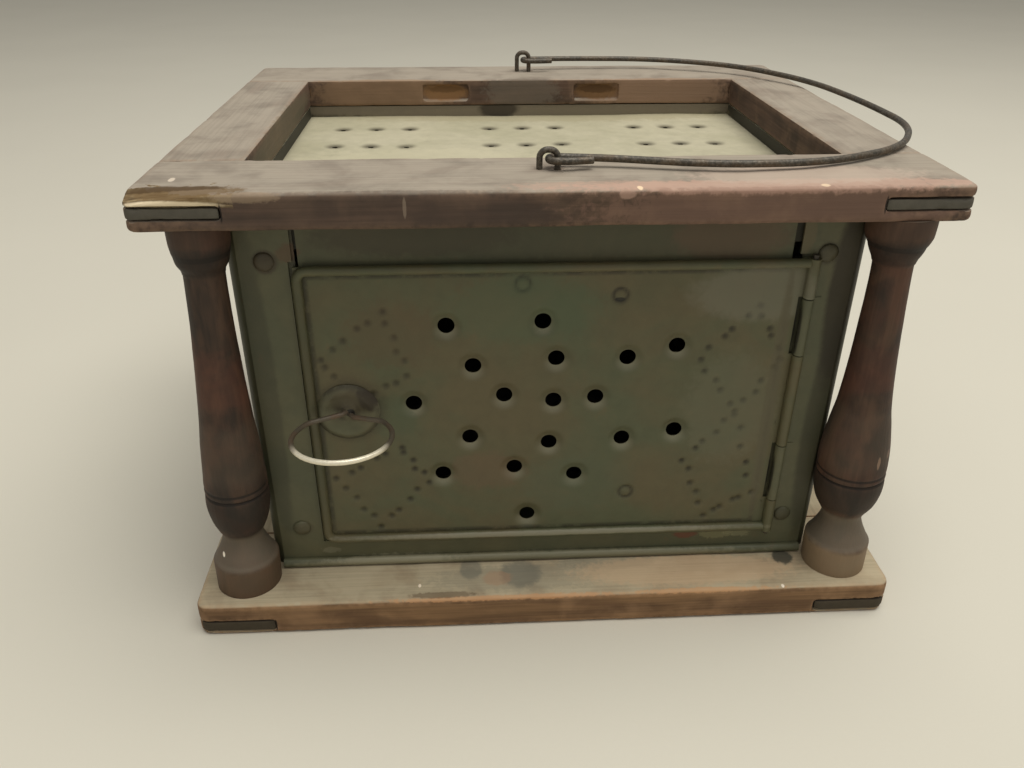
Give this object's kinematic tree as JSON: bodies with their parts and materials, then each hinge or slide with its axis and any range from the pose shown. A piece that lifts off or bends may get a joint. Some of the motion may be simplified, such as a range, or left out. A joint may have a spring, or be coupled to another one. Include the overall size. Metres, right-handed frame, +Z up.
{
  "type": "foot warmer",
  "caption": "Footrest with turned corner posts between wooden frames, around a pierced tin ember box with a latched door, an ember pan and a wire bail.",
  "frame": {"origin": "middle of the resting plane under the base frame", "axes": "+Z up, +X to the right along the width, front with the door towards -Y"},
  "size_m": [0.2406, 0.2179, 0.1569],
  "materials": {
    "top_wood": "old red-brown wash rubbed thin, satin",
    "base_wood": "worn bare wood, dull",
    "post_wood": "dark red-brown wash, worn, satin",
    "tin_wall": "aged tinplate under thin green-brown film, satin",
    "tin_door": "aged tinplate under thin green-brown film, satin",
    "tin_top": "aged tinplate, pale and dull",
    "pan_tin": "smoke-darkened tinplate, dull",
    "iron_wire": "dark drawn iron wire, rubbed",
    "ring_wire": "iron wire rubbed bright"
  },
  "bodies": {
    "root": {"back_panel": "tin_wall", "back_rivets": "tin_wall", "base_front_rail": "base_wood", "base_left_rail": "base_wood", "base_rear_rail": "base_wood", "base_right_rail": "base_wood", "bottom_panel": "tin_wall", "front_left_post": "post_wood", "front_panel": "tin_wall", "front_right_post": "post_wood", "front_rivets": "tin_wall", "front_staple": "iron_wire", "header_strip": "tin_wall", "hinge_wire": "iron_wire", "left_panel": "tin_wall", "rear_left_post": "post_wood", "rear_right_post": "post_wood", "rear_staple": "iron_wire", "right_panel": "tin_wall", "top_front_rail": "top_wood", "top_left_rail": "top_wood", "top_panel": "tin_top", "top_rear_rail": "top_wood", "top_right_rail": "top_wood"},
    "door": {"door": "tin_door", "latch_escutcheon": "tin_door"},
    "latch": {"latch_ring": "ring_wire", "latch_finger": "iron_wire"},
    "bail": {"bail_handle": "iron_wire"},
    "pan": {"ember_pan": "pan_tin"}
  },
  "joints": [
    {"name": "door_hinge", "type": "hinge", "parent": "root", "child": "door", "pos_m": [0.0775, -0.08401, 0.0728], "axis": [0, 0, 1], "range_deg": [0, 125]},
    {"name": "latch_turn", "type": "hinge", "parent": "door", "child": "latch", "pos_m": [-0.0633, -0.08305, 0.0739], "axis": [0, 1, 0], "range_deg": [0, 90]},
    {"name": "bail_swing", "type": "hinge", "parent": "root", "child": "bail", "pos_m": [-0.0012, -0.0752, 0.151], "axis": [-0.0178, -0.9998, -0.0121], "range_deg": [0, 178]},
    {"name": "pan_slide", "type": "slide", "parent": "root", "child": "pan", "axis": [0, -1, 0], "range_m": [0, 0.043]}
  ]
}
